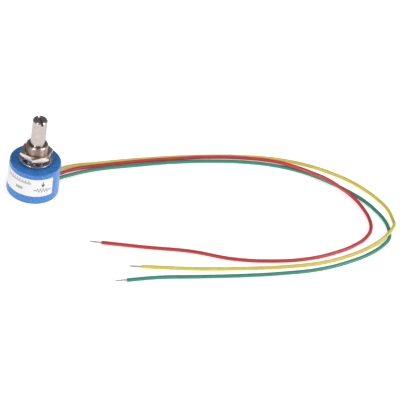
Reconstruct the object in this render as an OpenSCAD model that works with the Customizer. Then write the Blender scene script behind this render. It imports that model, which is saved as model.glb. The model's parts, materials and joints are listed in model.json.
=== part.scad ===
// Panel potentiometer, one turn, wire wound, with a threaded bushing and three flying leads.
// Millimetres. The origin is the centre of the flat rear face, +Z runs along the shaft
// towards its slotted tip, and the leads leave at the rear right.

/* [Body] */
// Outside diameter of the moulded body at its front face
body_d = 22.2; // [21.6:0.1:24]
// Mould draft of the body, as the extra radius at its rear face
body_draft = 0.3; // [0:0.05:0.4]
// Height of the body, from the rear face to the front face
body_h = 15.4; // [15:0.1:18]
// Thickness of the round side wall
side_wall = 1.4; // [1.2:0.1:1.8]
// Thickness of the front wall that holds the bushing
front_wall = 3.2; // [2.8:0.1:3.4]
// Rounding of the two outer edges of the body
edge_round = 0.4; // [0.2:0.1:0.6]
// Diameter of the raised seat round the bushing
seat_d = 11.6; // [11.2:0.1:12.4]
// Height of the raised seat above the front face
seat_h = 0.6; // [0.4:0.1:1]
// Thickness of the rear cover
cover_t = 1.2; // [1:0.1:1.6]
// Width of the step in the side wall that the rear cover rests on
cover_step = 0.5; // [0.4:0.1:0.7]

/* [Shaft] */
// Diameter of the shaft outside the body
shaft_d = 6.35; // [6:0.05:6.4]
// Length of the shaft in front of the front face
shaft_reach = 22.0; // [19:0.1:26]
// Chamfer at the tip of the shaft
tip_chamfer = 0.4; // [0.2:0.1:0.8]
// Width of the screwdriver slot
slot_w = 0.9; // [0.8:0.1:1.4]
// Depth of the screwdriver slot
slot_depth = 1.4; // [1:0.1:2.5]
// Direction of the screwdriver slot
slot_angle = 115; // [0:1:180]
// Diameter of the thin spindle inside the body
spindle_d = 4.0; // [3.6:0.1:4.4]
// Diameter of the pivot at the rear end of the shaft
pivot_d = 2.2; // [1.8:0.1:2.6]

/* [Bushing, nut and washer] */
// Outside diameter of the bushing's thread
thread_d = 9.52; // [9.3:0.02:9.7]
// Length of the bushing in front of the front face
bushing_reach = 9.2; // [8:0.1:11]
// Diameter of the flange that is moulded into the front wall
flange_d = 13.6; // [12.6:0.1:14.6]
// Thickness of that flange
flange_t = 1.2; // [0.8:0.1:1.4]
// Width of the nut across its flats
nut_af = 12.7; // [12:0.1:14]
// Thickness of the nut
nut_t = 2.2; // [2:0.1:3]
// Direction of one corner of the nut
nut_angle = 25; // [0:0.5:60]
// Height of the nut above the washer's teeth
nut_lift = 1.4; // [0.1:0.1:2]
// Outside diameter of the lock washer
washer_d = 14.6; // [13.8:0.1:16]
// Thickness of the lock washer's sheet
washer_t = 0.5; // [0.4:0.05:0.6]
// Radial width of the lock washer's rim
washer_rim = 1.3; // [1:0.05:1.4]
// Number of teeth inside the lock washer
tooth_count = 12; // [8:1:14]
// Width of a tooth
tooth_w = 1.7; // [1.3:0.1:1.9]
// Twist of a tooth out of the sheet
tooth_twist = 34; // [20:1:45]

/* [Resistance element] */
// Height of the room for the rotor between the element and the front wall
rotor_room = 3.4; // [3.3:0.1:3.8]
// Radial thickness of the winding
winding_t = 0.7; // [0.6:0.05:0.9]
// Number of turns shown round the former
turn_count = 72; // [36:1:90]
// Depth of the groove between two turns
turn_relief = 0.08; // [0.05:0.01:0.12]
// Half of the angle that the winding leaves open
winding_gap = 17; // [15:0.5:20]
// Angle that each end cap takes up
cap_angle = 7; // [6:0.5:8]
// Thickness of the sheet metal of the terminals
terminal_t = 0.3; // [0.2:0.05:0.4]
// Width of the terminals
terminal_w = 1.4; // [1.2:0.1:1.8]

/* [Rotor] */
// Radius of the rotor's hub, as a share of the cavity's radius
hub_share = 0.412; // [0.38:0.002:0.43]
// Radius of the rotor's disc, as a share of the cavity's radius
disc_share = 0.68; // [0.62:0.01:0.72]
// Half of the angle that the rotor's stop takes up
lug_half = 5; // [4:0.5:6]
// Half of the angle that the stop in the housing takes up
stop_half = 4.5; // [4:0.5:6]
// Thickness of the contact springs
leaf_t = 0.25; // [0.2:0.05:0.3]
// Width of the wiper spring
leaf_w = 1.6; // [1.2:0.1:2]
// Diameter of the wiper's contact pin
contact_d = 0.6; // [0.5:0.1:0.8]

/* [Label] */
// Height of the lower edge of the label
label_low = 4.2; // [4:0.1:5]
// Distance from the upper edge of the label to the front face
label_top = 2.2; // [1:0.1:3]
// Direction of the label's edge at the front right
label_edge = -36.5; // [-60:0.5:-20]
// Angle that the label covers
label_wrap = 222; // [180:1:260]
// Thickness of the label
label_t = 0.08; // [0.06:0.01:0.12]
// Radius of the label's corners
label_corner = 0.9; // [0.5:0.1:1.5]

/* [Leads] */
// Outside diameter of the insulation
lead_d = 1.6; // [1.5:0.02:1.66]
// Diameter of the stranded conductor
strand_d = 0.75; // [0.6:0.05:0.9]
// Distance between two leads where they leave the body
lead_pitch = 2.54; // [2.4:0.02:2.8]
// Direction in which the leads leave the body
exit_angle = 45; // [30:1:60]
// Length of the bare tips
strip_len = 5.0; // [3:0.1:8]

/* [Hidden] */
$fn = 64;

// Clearances
bearing_gap = 0.03;    // radial, at the bushing and at the rear pivot
slide_gap = 0.08;      // between a sliding contact and its track
end_gap = 0.1;         // axial play of the turning parts
glue_gap = 0.05;       // round glued pieces
lead_gap = 0.05;       // radial, round a lead in its hole
thread_gap = 0.02;     // radial, between the bushing and the nut
eps = 0.01;            // overshoot of a cut that ends at a face
over = 1;              // overshoot of a cut that passes through

// Radii and lengths
body_r = body_d / 2;
label_h = body_h - label_low - label_top;
shaft_r = shaft_d / 2;
spindle_r = spindle_d / 2;
pivot_r = pivot_d / 2;
thread_r = thread_d / 2;
cavity_r = body_r - side_wall;
cover_r = cavity_r + cover_step;
winding_out = cavity_r - glue_gap;
winding_in = winding_out - winding_t;
skin = 0.15;           // of the winding and of its caps, round the former
ledge_w = 0.4;         // what the ledge reaches in past the winding
ledge_r = winding_in - ledge_w;
lead_r = lead_d / 2;
hole_r = lead_r + lead_gap;
strand_r = strand_d / 2;

// Heights from the rear face up
anchor_web = 0.1;      // of the anchor, under and over a lead
lead_z = cover_t + hole_r + anchor_web;
anchor_top = lead_z + hole_r + anchor_web;
shelf_room = 0.9;      // between the anchor and the winding, for the strips
winding_low = anchor_top + shelf_room;
ceiling = body_h - front_wall;
ledge_z = ceiling - rotor_room;
seat_z = body_h + seat_h;
thrust_t = 0.3;
clip_t = 0.6;
clip_top = ceiling - thrust_t - bearing_gap;
clip_low = clip_top - clip_t;
groove_r = shaft_r - 0.55;
shoulder_len = 1.85;   // of the full shaft, under the ring's groove
shoulder_z = clip_low - shoulder_len;
shaft_tip = body_h + shaft_reach;
bushing_tip = body_h + bushing_reach;
mouth_depth = 0.25;    // of the countersunk mouth of the bushing
relief_depth = 0.2;    // of the shaft's grease groove behind that mouth
relief_len = 2.4;
relief_top = bushing_tip + 0.1;
relief_low = relief_top - relief_len;

// Lock washer and nut
tooth_neck = 0.3;
tooth_gap = 0.2;       // between the teeth and the thread
washer_in = washer_d / 2 - washer_rim;
tooth_in = thread_r + tooth_gap;
tooth_len = washer_in - tooth_neck / 2 - tooth_in;
tooth_rise = tooth_w / 2 * sin(tooth_twist) + washer_t / 2 * cos(tooth_twist);
washer_mid = seat_z + tooth_rise;
nut_low = washer_mid + tooth_rise + nut_lift;

// Rotor
hub_r = hub_share * cavity_r;
disc_r = disc_share * cavity_r;
brush_room = 2.0;      // between the cover and the hub, for the brush
hub_low = cover_t + brush_room;
disc_t = 0.8;
disc_top = ledge_z - end_gap;
disc_low = disc_top - disc_t;
lug_r = ledge_r - 0.4;
lug_top = clip_low - 0.25;
stop_r = disc_r - 0.7;
stop_low = ledge_z + 0.3;
wiper_angle = exit_angle + 180;
flat_x = 1.4;          // from the axis to the flat that drives the rotor
stud_x = hub_r + 0.32 * (winding_in - hub_r);
stud_r = 0.5;
wiper_z = (winding_low + ledge_z) / 2;
spring_end = winding_in - 0.7;
finger_drop = 0.5;     // of the spring's fingers below the contact pins
slit_w = 0.2;          // between those fingers

// Collector
ring_t = 0.5;
brush_x = hub_r + 0.9;
brush_w = 1.0;
brush_foot = 0.8;
track_edge = 0.5;      // of the collector ring, on each side of the brush
ring_in = brush_x - brush_foot - track_edge;
ring_out = brush_x + track_edge;
brush_low = cover_t + ring_t + slide_gap;
lug_x = 0.711 * cavity_r;
lug_rise = 0.9;        // of the middle lug above the conductor

// Rear cover
boss_r = pivot_r + 1.0;
boss_top = hub_low - 0.6;
rim_half = 32;         // half of the angle that its rim leaves to the leads
cover_bevel = 0.2;
mark_depth = 0.1;      // of the moulding marks in its rear face
mark_r = 0.9;
gate_r = 2.4;
pivot_low = cover_t / 2 + end_gap;

// Lead anchor and terminals
anchor_x = lug_x + 0.7;
anchor_half = lead_pitch + hole_r + 0.7;
bare_in = 0.9;         // of a conductor, past its terminal
shelf_z = anchor_top + 0.2;
former_gap = winding_gap - 3;
cap_mid = winding_gap - cap_angle / 2;
leg_x = winding_in + 0.1;
leg_share = 0.9;       // of the cap's width
leg_w = 2 * winding_in * sin(cap_angle / 2) * leg_share;
terminal_low = cover_t + 0.1;
solder_r = 0.55;
solder_len = 0.5;

// Lead routes, from the body outwards. The tables start where the leads have left the body
// in a straight line; red crosses over green, and yellow crosses over green further on.
out_x = 14;
route_yellow = [
    [12, 15.8, 1.6], [17, 19.8, 0.95], [24, 23.1, 0.85], [40, 30.4, 0.85], [56, 36.9, 0.85],
    [72, 42.5, 0.85], [88, 46.9, 0.85], [103, 49.3, 0.85], [117, 49, 0.85], [128, 46.6, 0.85],
    [137, 43.2, 0.85], [145, 38.2, 0.85], [151, 33, 0.85], [155.5, 27.4, 0.85],
    [158, 21, 0.95], [158.7, 16.6, 1.8], [157.2, 10.5, 2.65], [153.9, 4.6, 2],
    [149.3, -0.5, 1], [142, -7.6, 0.85], [130, -16.3, 0.85], [114, -23.7, 0.85],
    [95, -30.1, 0.85], [75, -35.7, 0.85], [53.4, -40.2, 0.85]
];
route_red = [
    [13.5, 13.9, 1.6], [18.5, 18, 1], [25, 21.5, 0.95], [41, 28.9, 1.25], [57, 35.4, 1.45],
    [73, 41, 1.7], [89, 44.9, 1.8], [103, 45.7, 2.25], [112, 44.2, 2.55], [119, 42.2, 2.6],
    [127, 39.2, 2.6], [134, 34.9, 2.2], [140, 30.9, 1.15], [144.5, 25, 0.85],
    [147.6, 18.5, 0.85], [148.7, 12, 0.85], [147, 5.5, 0.85], [142.5, -1, 0.85],
    [134.5, -8.4, 0.85], [123, -15.8, 0.85], [108, -21.5, 0.85], [91, -24.8, 0.85],
    [73, -24.7, 0.85], [54, -27.2, 0.85], [34.7, -29.3, 0.85]
];
route_green = [
    [14.8, 11.5, 1.4], [19.5, 15.6, 0.9], [26, 19.6, 0.85], [42, 27.1, 0.85], [58, 34, 0.85],
    [74, 39.4, 0.85], [90, 43.3, 0.85], [104, 44.6, 0.85], [116, 43.5, 0.85], [127, 40.1, 0.85],
    [136, 36, 0.85], [144, 31.1, 0.85], [150, 25.4, 0.85], [154.4, 19.4, 0.85],
    [156.8, 12.5, 0.85], [157, 7.5, 0.85], [154.8, 2.4, 0.85], [150, -4.3, 0.85],
    [142, -11.9, 0.85], [129, -21, 0.85], [113, -28.3, 0.85], [95, -34.8, 0.85],
    [77, -40.4, 0.85], [62, -44.9, 0.85], [48.6, -50.3, 0.85]
];

// A point at a distance out from the axis and aside from the leads' middle line
function exit_point(out, aside) = [
    out * cos(exit_angle) - aside * sin(exit_angle),
    out * sin(exit_angle) + aside * cos(exit_angle),
    lead_z
];
function full_route(aside, table) = concat(
    [exit_point(anchor_x, aside), exit_point(out_x, aside)], table
);
function unit(v) = v / norm(v);
function tangent(p, i) = unit(p[min(i + 1, len(p) - 1)] - p[max(i - 1, 0)]);
function ring_points(centre, t, r, sides) =
    let (side = unit(cross(t, [0, 0, 1])), up = cross(side, t))
    [for (k = [0 : sides - 1]) centre + r * (cos(k * 360 / sides) * side + sin(k * 360 / sides) * up)];

// A tube swept along a route, one ring of points at each point of the route
module swept_tube(route, r, sides = 8) {
    n = len(route);
    points = [for (i = [0 : n - 1]) each ring_points(route[i], tangent(route, i), r, sides)];
    walls = [
        for (i = [0 : n - 2], k = [0 : sides - 1])
            let (a = i * sides + k, b = i * sides + (k + 1) % sides)
            [a, b, b + sides, a + sides]
    ];
    first = [for (k = [sides - 1 : -1 : 0]) k];
    last = [for (k = [0 : sides - 1]) (n - 1) * sides + k];
    polyhedron(points = points, faces = concat([first], walls, [last]), convexity = 10);
}

// A block that follows a circle about the axis
module arc_block(r_in, r_out, z_low, z_high, a_from, a_to) {
    rotate([0, 0, a_from])
        rotate_extrude(angle = a_to - a_from)
            translate([r_in, z_low])
                square([r_out - r_in, z_high - z_low]);
}

// Radius of the drafted side of the body at a height
function side_r(z) = body_r + body_draft * (body_h - edge_round - z) / (body_h - 2 * edge_round);

// Half section of the body, with its drafted side and its rounded outer edges
module body_half() {
    e = edge_round;
    step = 15;
    polygon(concat(
        [[0, 0]],
        [for (a = [0 : step : 90]) [side_r(e) - e + e * sin(a), e - e * cos(a)]],
        [for (a = [0 : step : 90]) [body_r - e + e * cos(a), body_h - e + e * sin(a)]],
        [[0, body_h]]
    ));
}

// Round bar with one flat, as a flat outline
module flatted_round(r, flat) {
    intersection() {
        circle(r);
        translate([-r - over, -r - over]) square([r + over + flat, 2 * (r + over)]);
    }
}

// Places its children at the leads, with +X pointing out of the body
module at_exit() rotate([0, 0, exit_angle]) children();

// Places its children at the wiper, with +X pointing from the axis to the wiper
module at_wiper() rotate([0, 0, wiper_angle]) children();

module housing() color("royalblue") {
    difference() {
        union() {
            rotate_extrude() body_half();
            translate([0, 0, body_h - eps]) cylinder(h = seat_h + eps, r = seat_d / 2);
        }
        // room for the element, up to the ledge that it rests against
        translate([0, 0, cover_t - eps]) cylinder(h = ledge_z - cover_t + eps, r = cavity_r);
        // room for the rotor
        translate([0, 0, cover_t]) cylinder(h = ceiling - cover_t, r = ledge_r);
        // recess for the rear cover
        translate([0, 0, -eps]) cylinder(h = cover_t + eps, r = cover_r);
        // bed of the bushing
        cylinder(h = seat_z + over, r = thread_r);
        translate([0, 0, ceiling - eps]) cylinder(h = flange_t + eps, d = flange_d, $fn = 12);
        // holes for the three leads
        at_exit() for (k = [-1 : 1])
            translate([cavity_r - over, k * lead_pitch, lead_z])
                rotate([0, 90, 0]) cylinder(h = side_wall + 2 * over, r = hole_r);
    }
    // the stop that the rotor's lug runs against
    at_exit() arc_block(stop_r, ledge_r + ledge_w / 2, stop_low, ceiling, -stop_half, stop_half);
}

module rear_cover() color("mediumblue") difference() {
    union() {
        rotate_extrude() polygon([
            [0, 0], [cover_r - glue_gap - cover_bevel, 0], [cover_r - glue_gap, cover_bevel],
            [cover_r - glue_gap, cover_t], [boss_r, cover_t], [boss_r, boss_top], [0, boss_top]
        ]);
        // rim that holds the element against the ledge
        at_exit() arc_block(winding_in, cavity_r - glue_gap, cover_t - eps, winding_low,
                            rim_half, 360 - rim_half);
    }
    // blind bore of the rear bearing
    translate([0, 0, cover_t / 2]) cylinder(h = boss_top, r = pivot_r + bearing_gap);
    // round moulding marks in the rear face, one where it was filled and three where it was ejected
    translate([0, 0, -eps]) cylinder(h = mark_depth + eps, r = gate_r);
    for (a = [30 : 120 : 270]) rotate([0, 0, a])
        translate([disc_r, 0, -eps]) cylinder(h = mark_depth + eps, r = mark_r);
}

// What lies outside a label's round corner, in the quarter at its outer side. The round is
// centred a little nearer to the edges than its radius, so that it crosses them.
module corner_cutter(ahead, above) {
    size = 2 * label_corner;
    difference() {
        translate([-over, ahead ? 0 : -size, above ? 0 : -size]) cube([2 * over, size, size]);
        rotate([0, 90, 0]) cylinder(h = 4 * over, r = label_corner, center = true);
    }
}

module label() color("whitesmoke") {
    inset = 0.9 * label_corner;
    top = label_low + label_h;
    difference() {
        rotate([0, 0, label_edge - label_wrap]) rotate_extrude(angle = label_wrap) polygon([
            [side_r(label_low), label_low], [side_r(label_low) + label_t, label_low],
            [side_r(top) + label_t, top], [side_r(top), top]
        ]);
        // rounded corners
        for (edge = [[label_edge, -1], [label_edge - label_wrap, 1]], side = [0, 1])
            rotate([0, 0, edge[0] + edge[1] * asin(inset / body_r)])
                translate([body_r, 0, label_low + (side == 0 ? inset : label_h - inset)])
                    corner_cutter(edge[1] < 0, side == 1);
    }
}

module bushing() color("silver") {
    bevel_w = 0.4;
    bevel_h = 0.5;
    bore_r = shaft_r + bearing_gap;
    difference() {
        union() {
            rotate_extrude() polygon([
                [0, ceiling], [thread_r, ceiling], [thread_r, bushing_tip - bevel_h],
                [thread_r - bevel_w, bushing_tip], [0, bushing_tip]
            ]);
            translate([0, 0, ceiling]) cylinder(h = flange_t, d = flange_d, $fn = 12);
        }
        // bearing bore and its countersunk mouth
        translate([0, 0, ceiling - over]) cylinder(h = bushing_tip, r = bore_r);
        translate([0, 0, bushing_tip - mouth_depth])
            cylinder(h = mouth_depth + eps, r1 = bore_r, r2 = bore_r + mouth_depth);
    }
}

module mounting_nut() color("silver") {
    corner_r = nut_af / 2 / cos(30);
    face_r = nut_af / 2 * 0.97;          // of the flat part of an end face
    bevel = (corner_r - face_r) * tan(28);
    mouth = 0.3;
    translate([0, 0, nut_low]) rotate([0, 0, nut_angle]) difference() {
        intersection() {
            cylinder(h = nut_t, r = corner_r, $fn = 6);
            rotate_extrude() polygon([
                [0, 0], [face_r, 0], [corner_r + eps, bevel], [corner_r + eps, nut_t - bevel],
                [face_r, nut_t], [0, nut_t]
            ]);
        }
        translate([0, 0, -over]) cylinder(h = nut_t + 2 * over, r = thread_r + thread_gap);
        // countersunk mouths of the thread
        for (side = [0, 1]) translate([0, 0, side * nut_t]) mirror([0, 0, side])
            translate([0, 0, -eps])
                cylinder(h = mouth, r1 = thread_r + thread_gap + mouth, r2 = thread_r + thread_gap);
    }
}

module lockwasher() color("gainsboro") translate([0, 0, washer_mid]) {
    neck_w = tooth_w * 0.55;
    difference() {
        cylinder(h = washer_t, r = washer_d / 2, center = true);
        cylinder(h = washer_t + over, r = washer_in, center = true);
    }
    for (k = [0 : tooth_count - 1]) rotate([0, 0, k * 360 / tooth_count]) {
        // neck in the plane of the sheet, then the twisted blade
        translate([washer_in - tooth_neck / 2, 0, 0])
            cube([2 * tooth_neck, neck_w, washer_t], center = true);
        translate([washer_in - tooth_neck / 2 - tooth_len / 2, 0, 0])
            rotate([tooth_twist, 0, 0]) cube([tooth_len, tooth_w, washer_t], center = true);
    }
}

module shaft() color("lightgray") difference() {
    union() {
        translate([0, 0, pivot_low]) cylinder(h = hub_low - pivot_low, r = pivot_r);
        // spindle with the flat that drives the rotor
        at_wiper() translate([0, 0, boss_top + end_gap])
            linear_extrude(clip_low - boss_top - end_gap) flatted_round(spindle_r, flat_x);
        rotate_extrude() polygon([
            [0, shoulder_z], [shaft_r, shoulder_z], [shaft_r, clip_low], [groove_r, clip_low],
            [groove_r, clip_top], [shaft_r, clip_top],
            // grease groove, which ends at the bushing's mouth, where the free end begins
            [shaft_r, relief_low], [shaft_r - relief_depth, relief_low],
            [shaft_r - relief_depth, relief_top], [shaft_r, relief_top],
            [shaft_r, shaft_tip - tip_chamfer], [shaft_r - tip_chamfer, shaft_tip], [0, shaft_tip]
        ]);
    }
    // screwdriver slot
    rotate([0, 0, slot_angle]) translate([-shaft_d, -slot_w / 2, shaft_tip - slot_depth])
        cube([2 * shaft_d, slot_w, slot_depth + over]);
}

module retaining_ring() color("slategray") at_wiper() translate([0, 0, clip_low]) {
    opening = groove_r * 1.72;
    relief_at = 105;
    relief_half = 28;
    difference() {
        cylinder(h = clip_t, r = shaft_r + 2);
        translate([0, 0, -over]) cylinder(h = clip_t + 2 * over, r = groove_r);
        // the open side that the ring is pushed on with
        translate([0, -opening / 2, -over]) cube([shaft_d, opening, clip_t + 2 * over]);
        // relief between the three grips
        for (side = [-1, 1]) rotate([0, 0, side * relief_at])
            arc_block(groove_r - 0.2, shaft_r + 0.5, -over, clip_t + over, -relief_half, relief_half);
    }
}

module thrust_washer() color("goldenrod") translate([0, 0, ceiling - thrust_t]) difference() {
    cylinder(h = thrust_t, r = shaft_r + 1.9);
    translate([0, 0, -over]) cylinder(h = thrust_t + 2 * over, r = shaft_r + 0.1);
}

module rotor() color("dimgray") at_wiper() difference() {
    stud_head = 0.35;
    rib = [2, 0.8, 1.4];
    union() {
        translate([0, 0, hub_low]) cylinder(h = shoulder_z - hub_low, r = hub_r);
        translate([0, 0, disc_low]) cylinder(h = disc_t, r = disc_r);
        // stop lug, with the arm that carries it
        arc_block(hub_r - 0.2, lug_r, disc_low + disc_t / 2, lug_top, -lug_half, lug_half);
        // stud that the wiper spring is riveted on
        translate([stud_x, 0, disc_low - leaf_t - stud_head])
            cylinder(h = stud_head + leaf_t + disc_t / 2, r = stud_r);
        // ribs under the disc, which run into it and into the hub
        for (a = [60 : 60 : 300]) rotate([0, 0, a])
            translate([hub_r - disc_t / 2, -rib[1] / 2, disc_low - rib[2]])
                cube(rib + [0, 0, disc_t / 2]);
    }
    // bore with the driving flat
    translate([0, 0, hub_low - over]) linear_extrude(shoulder_z - hub_low + 2 * over)
        flatted_round(spindle_r, flat_x);
}

module wiper_spring() color("peru") at_wiper() translate([0, 0, disc_low - leaf_t]) {
    start = hub_r + 0.1;
    pad = [2.6, leaf_w + 1, leaf_t];
    slit_len = 1.2;
    drop = disc_low - wiper_z + finger_drop;
    difference() {
        union() {
            translate([start, -pad[1] / 2, 0]) cube(pad);
            translate([start, -leaf_w / 2, 0]) cube([spring_end - start, leaf_w, leaf_t]);
            // end bent down past the height of the contact
            translate([spring_end - leaf_t, -leaf_w / 2, leaf_t - drop])
                cube([leaf_t, leaf_w, drop]);
        }
        translate([stud_x, 0, -over]) cylinder(h = leaf_t + 2 * over, r = stud_r);
        // slit that splits the bent end into two fingers
        translate([spring_end - slit_len, -slit_w / 2, -drop])
            cube([slit_len + over, slit_w, drop + over]);
    }
}

module wiper_contact() color("gold") at_wiper()
    for (side = [-1, 1]) translate([0, side * (leaf_w + slit_w) / 4, wiper_z]) {
        translate([spring_end, 0, 0]) rotate([0, 90, 0])
            cylinder(h = winding_in - slide_gap - contact_d / 2 - spring_end, r = contact_d / 2);
        translate([winding_in - slide_gap - contact_d / 2, 0, 0]) sphere(contact_d / 2);
    }

module collector_brush() color("peru") at_wiper() {
    translate([0, 0, hub_low - leaf_t]) difference() {
        cylinder(h = leaf_t, r = hub_r);
        translate([0, 0, -over]) cylinder(h = leaf_t + 2 * over, r = spindle_r + glue_gap);
    }
    // two fingers, bent down and then in under the hub
    for (a = [-16, 16]) rotate([0, 0, a]) translate([0, -brush_w / 2, 0]) {
        translate([hub_r - brush_w / 2, 0, hub_low - leaf_t])
            cube([brush_x - hub_r + brush_w / 2, brush_w, leaf_t]);
        translate([brush_x - leaf_t, 0, brush_low]) cube([leaf_t, brush_w, hub_low - brush_low]);
        translate([brush_x - brush_foot, 0, brush_low]) cube([brush_foot, brush_w, leaf_t]);
    }
}

module collector_ring() color("gold") difference() {
    union() {
        translate([0, 0, cover_t]) difference() {
            cylinder(h = ring_t, r = ring_out);
            translate([0, 0, -over]) cylinder(h = ring_t + 2 * over, r = ring_in);
        }
        // tab to the middle lead, with its upright lug
        at_exit() translate([0, -terminal_w / 2, cover_t]) {
            translate([ring_out - track_edge, 0, 0])
                cube([lug_x - ring_out + track_edge, terminal_w, terminal_t]);
            translate([lug_x - terminal_t, 0, 0])
                cube([terminal_t, terminal_w, lead_z + lug_rise - cover_t]);
        }
    }
    at_exit() translate([lug_x - over, 0, lead_z])
        rotate([0, 90, 0]) cylinder(h = 2 * over, r = strand_r);
}

// The space that the former takes up, inside the winding and its caps
module former_block(a_from, a_to) {
    arc_block(winding_in + skin, winding_out - skin, winding_low + skin, ledge_z - skin, a_from, a_to);
}

module element_former() color("saddlebrown") at_exit() former_block(former_gap, 360 - former_gap);

module resistance_winding() color("darkgoldenrod") at_exit() {
    pitch = (360 - 2 * winding_gap) / turn_count;
    difference() {
        union() {
            arc_block(winding_in + turn_relief, winding_out - turn_relief,
                      winding_low + turn_relief, ledge_z - turn_relief,
                      winding_gap, 360 - winding_gap);
            for (k = [0 : turn_count - 1])
                arc_block(winding_in, winding_out, winding_low, ledge_z,
                          winding_gap + (k + 0.2) * pitch, winding_gap + (k + 0.8) * pitch);
        }
        former_block(former_gap, 360 - former_gap);
    }
}

// Cap on one end of the winding, and the strip from it to a lead. It is drawn for the end at
// the positive side, and mirrored for the other one.
module end_terminal() {
    difference() {
        arc_block(winding_in, winding_out, winding_low, ledge_z, winding_gap - cap_angle, winding_gap);
        former_block(former_gap, winding_gap + cap_angle);
    }
    // leg under the cap
    rotate([0, 0, cap_mid]) translate([leg_x, -leg_w / 2, shelf_z])
        cube([terminal_t, leg_w, winding_low + skin / 2 - shelf_z]);
    translate([0, lead_pitch - terminal_w / 2, 0]) {
        // shelf over the anchor, then the lug that the conductor passes through
        translate([lug_x, 0, shelf_z]) cube([leg_x - lug_x, terminal_w, terminal_t]);
        difference() {
            translate([lug_x, 0, terminal_low])
                cube([terminal_t, terminal_w, shelf_z - terminal_low + terminal_t]);
            translate([lug_x - over, terminal_w / 2, lead_z])
                rotate([0, 90, 0]) cylinder(h = 2 * over, r = strand_r);
        }
    }
}

module end_terminal_yellow() color("gold") at_exit() end_terminal();
module end_terminal_green() color("gold") at_exit() mirror([0, 1, 0]) end_terminal();

module lead_anchor() color("black") at_exit() difference() {
    intersection() {
        translate([anchor_x, -anchor_half, cover_t])
            cube([cavity_r, 2 * anchor_half, anchor_top - cover_t]);
        cylinder(h = body_h, r = cavity_r - glue_gap);
    }
    for (k = [-1 : 1]) translate([anchor_x - over, k * lead_pitch, lead_z])
        rotate([0, 90, 0]) cylinder(h = cavity_r, r = hole_r);
}

module inner_conductors() color("silver") at_exit() for (k = [-1 : 1])
    translate([lug_x - bare_in, k * lead_pitch, lead_z])
        rotate([0, 90, 0]) cylinder(h = anchor_x - lug_x + bare_in, r = strand_r);

module solder_joints() color("lightsteelblue") at_exit() for (k = [-1 : 1])
    translate([k == 0 ? lug_x - terminal_t : lug_x, k * lead_pitch, lead_z]) rotate([0, -90, 0])
        difference() {
            cylinder(h = solder_len, r1 = solder_r, r2 = strand_r + 0.1);
            translate([0, 0, -over]) cylinder(h = solder_len + 2 * over, r = strand_r);
        }

module lead_yellow() color("gold") swept_tube(full_route(lead_pitch, route_yellow), lead_r);
module lead_red() color("firebrick") swept_tube(full_route(0, route_red), lead_r);
module lead_green() color("seagreen") swept_tube(full_route(-lead_pitch, route_green), lead_r);

// Bare strands beyond the end of a lead, in the direction in which the lead ends
module bare_tip(route) color("silver") {
    end = route[len(route) - 1];
    t = tangent(route, len(route) - 1);
    translate(end) rotate([0, 0, atan2(t[1], t[0])]) rotate([0, 90, 0])
        cylinder(h = strip_len, r = strand_r);
}

module tip_yellow() bare_tip(route_yellow);
module tip_red() bare_tip(route_red);
module tip_green() bare_tip(route_green);

housing();
rear_cover();
label();
bushing();
mounting_nut();
lockwasher();
shaft();
retaining_ring();
thrust_washer();
rotor();
wiper_spring();
wiper_contact();
collector_brush();
collector_ring();
element_former();
resistance_winding();
end_terminal_yellow();
end_terminal_green();
lead_anchor();
inner_conductors();
solder_joints();
lead_yellow();
lead_red();
lead_green();
tip_yellow();
tip_red();
tip_green();
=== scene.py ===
"""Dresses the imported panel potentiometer: finishes, thread, leads, label, light and camera.

Everything is in metres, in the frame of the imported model: the origin is the centre of the flat
rear face, and +Z runs along the shaft towards its slotted tip.
"""

from __future__ import annotations

import json
import logging
import math
from dataclasses import dataclass, field
from enum import Enum

import bmesh
import bpy
from mathutils import Matrix, Vector

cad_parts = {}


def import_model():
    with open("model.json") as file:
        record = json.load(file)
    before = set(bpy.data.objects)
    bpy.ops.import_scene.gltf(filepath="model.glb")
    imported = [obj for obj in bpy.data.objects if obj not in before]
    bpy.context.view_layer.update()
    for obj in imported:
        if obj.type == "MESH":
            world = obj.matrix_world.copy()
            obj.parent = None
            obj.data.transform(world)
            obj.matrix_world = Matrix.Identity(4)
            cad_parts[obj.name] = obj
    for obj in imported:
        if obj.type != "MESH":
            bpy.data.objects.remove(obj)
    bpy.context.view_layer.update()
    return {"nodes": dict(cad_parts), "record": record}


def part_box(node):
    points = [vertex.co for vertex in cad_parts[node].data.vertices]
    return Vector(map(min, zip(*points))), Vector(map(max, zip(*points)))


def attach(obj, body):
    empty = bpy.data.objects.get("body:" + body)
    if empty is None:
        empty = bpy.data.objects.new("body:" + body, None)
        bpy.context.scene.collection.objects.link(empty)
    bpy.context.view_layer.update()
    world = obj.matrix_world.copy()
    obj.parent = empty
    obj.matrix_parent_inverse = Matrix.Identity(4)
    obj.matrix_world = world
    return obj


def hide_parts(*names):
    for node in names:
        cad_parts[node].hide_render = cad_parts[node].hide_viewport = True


LOG = logging.getLogger("potentiometer")
MM = 0.001
INCH = 25.4 * MM
FIXED_BODY = "body"
WELD = 1e-6
# Noise seldom leaves this range.
NOISE_LOW, NOISE_HIGH = 0.3, 0.7
# Places of the Mix node's colour sockets.
MIX_FACTOR, MIX_FIRST, MIX_SECOND, MIX_RESULT = 0, 6, 7, 2

Triple = tuple[float, float, float]
Colour = Triple
Edges = tuple[float, float, float, float]
Socket = bpy.types.NodeSocket


class Grain(Enum):
    """How a metal surface was worked."""

    TURNED = "turned"
    ROLLED = "rolled"
    PLATED = "plated"


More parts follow.
